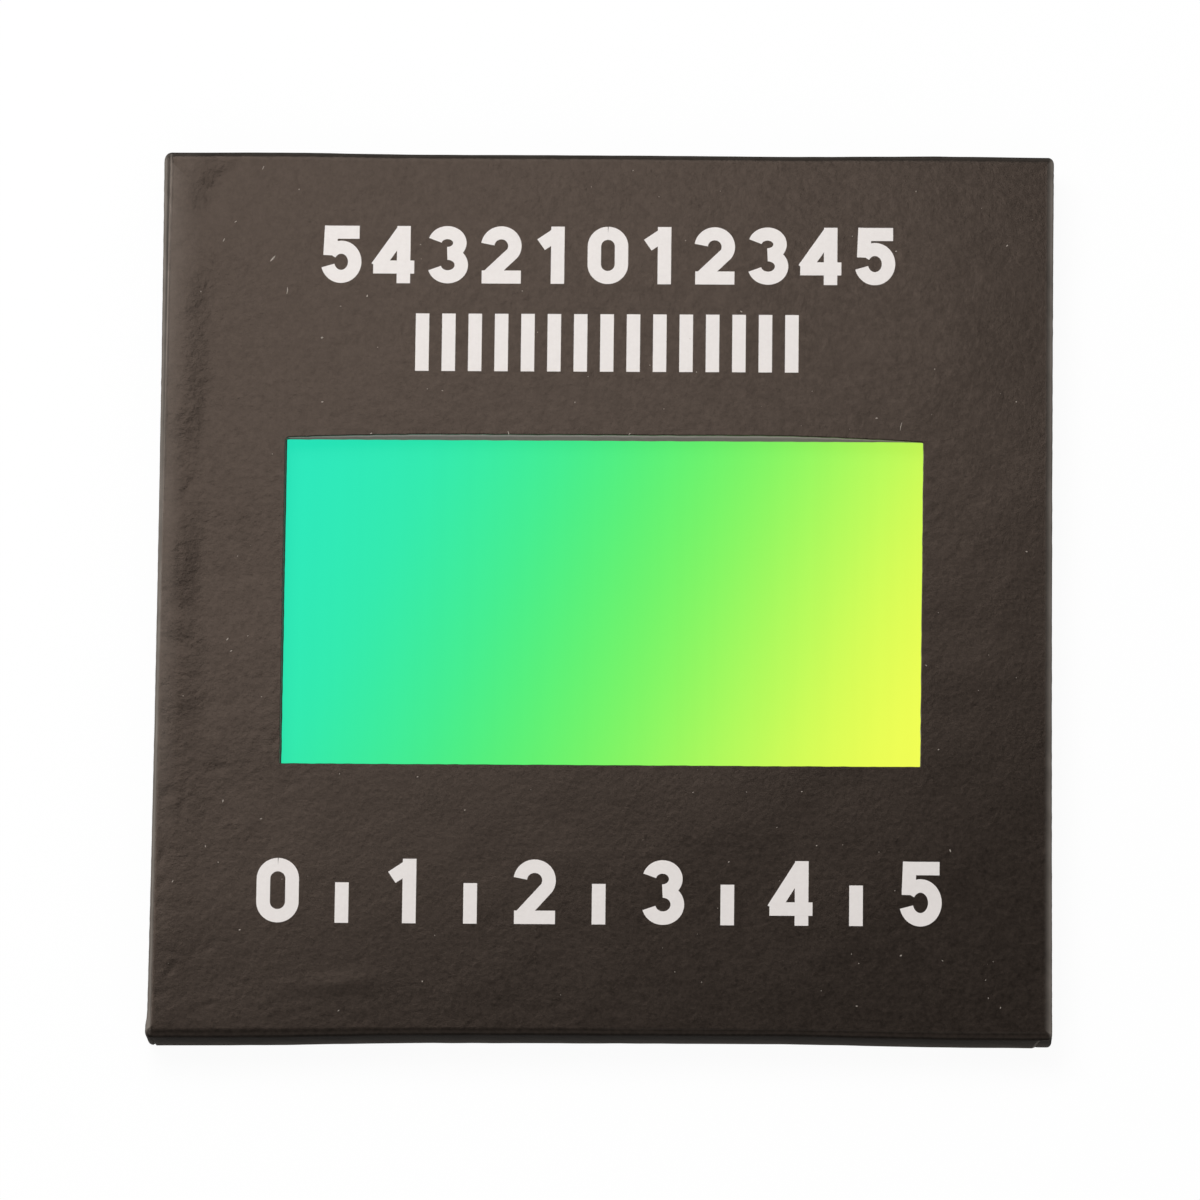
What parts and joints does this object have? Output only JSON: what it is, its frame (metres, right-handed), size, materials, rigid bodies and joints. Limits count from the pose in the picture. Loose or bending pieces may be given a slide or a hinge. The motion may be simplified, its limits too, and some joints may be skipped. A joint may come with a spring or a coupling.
{
  "type": "diffraction grating",
  "caption": "Transmission diffraction grating film held between greyboards in a square, dark paper-wrapped card mount with a wide rectangular window.",
  "frame": {"origin": "middle of the card's back, on the surface that it lies on", "axes": "+Z out of the printed front, +Y towards the top of the print, +X towards its right"},
  "size_m": [0.0704, 0.0708, 0.0046],
  "materials": {
    "cover_laminate": "satin",
    "greyboard": "matte",
    "adhesive": "satin",
    "grating_film": "gloss",
    "liner_paper": "matte",
    "print_white": "satin"
  },
  "bodies": {
    "root": {"cover_paper": "cover_laminate", "front_board": "greyboard", "adhesive_sheet": "adhesive", "grating_film": "grating_film", "back_board": "greyboard", "back_liner": "liner_paper"}
  },
  "joints": []
}
